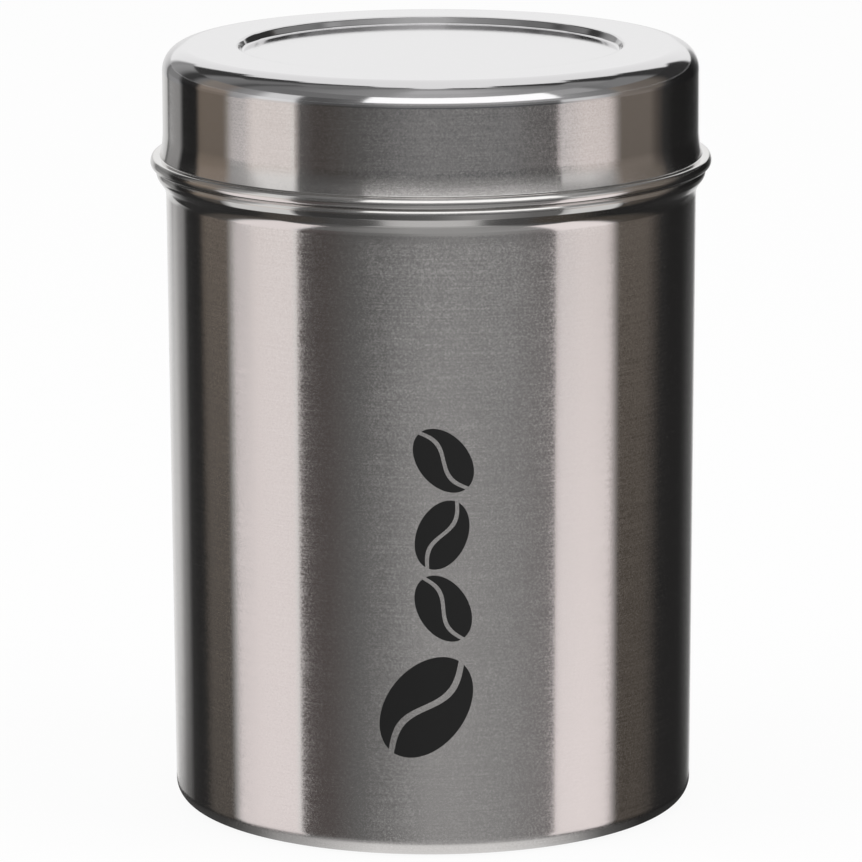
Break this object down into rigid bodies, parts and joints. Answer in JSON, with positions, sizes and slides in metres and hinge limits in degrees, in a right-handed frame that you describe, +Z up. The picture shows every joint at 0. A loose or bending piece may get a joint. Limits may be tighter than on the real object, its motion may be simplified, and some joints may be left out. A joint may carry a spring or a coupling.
{
  "type": "lidded storage canister",
  "caption": "Cylindrical stainless steel coffee canister with a lift-off lid, a curled lid edge resting on a bead, and a sealing ring inside the lid.",
  "frame": {"origin": "centre of the circle that the foot stands on", "axes": "+Z up along the canister's axis; the front of the canister faces -Y"},
  "size_m": [0.1108, 0.1108, 0.152],
  "materials": {
    "body_steel": "fine brushing round the wall, brighter at the bead and the bend at the foot",
    "lid_steel": "bright top and curl, fine brushing round the skirt",
    "silicone": "satin translucent silicone"
  },
  "bodies": {
    "canister_body": {"body_shell": "body_steel"},
    "lid_seal": {"seal_ring": "silicone"},
    "lid": {"lid_shell": "lid_steel"}
  },
  "joints": [
    {"name": "lid_lift", "type": "slide", "parent": "canister_body", "child": "lid_seal", "axis": [0, 0, 1], "range_m": [0, 0.05]},
    {"name": "lid_turn", "type": "hinge", "parent": "lid_seal", "child": "lid", "pos_m": [0, 0, 0.15], "axis": [0, 0, 1], "continuous": true}
  ]
}
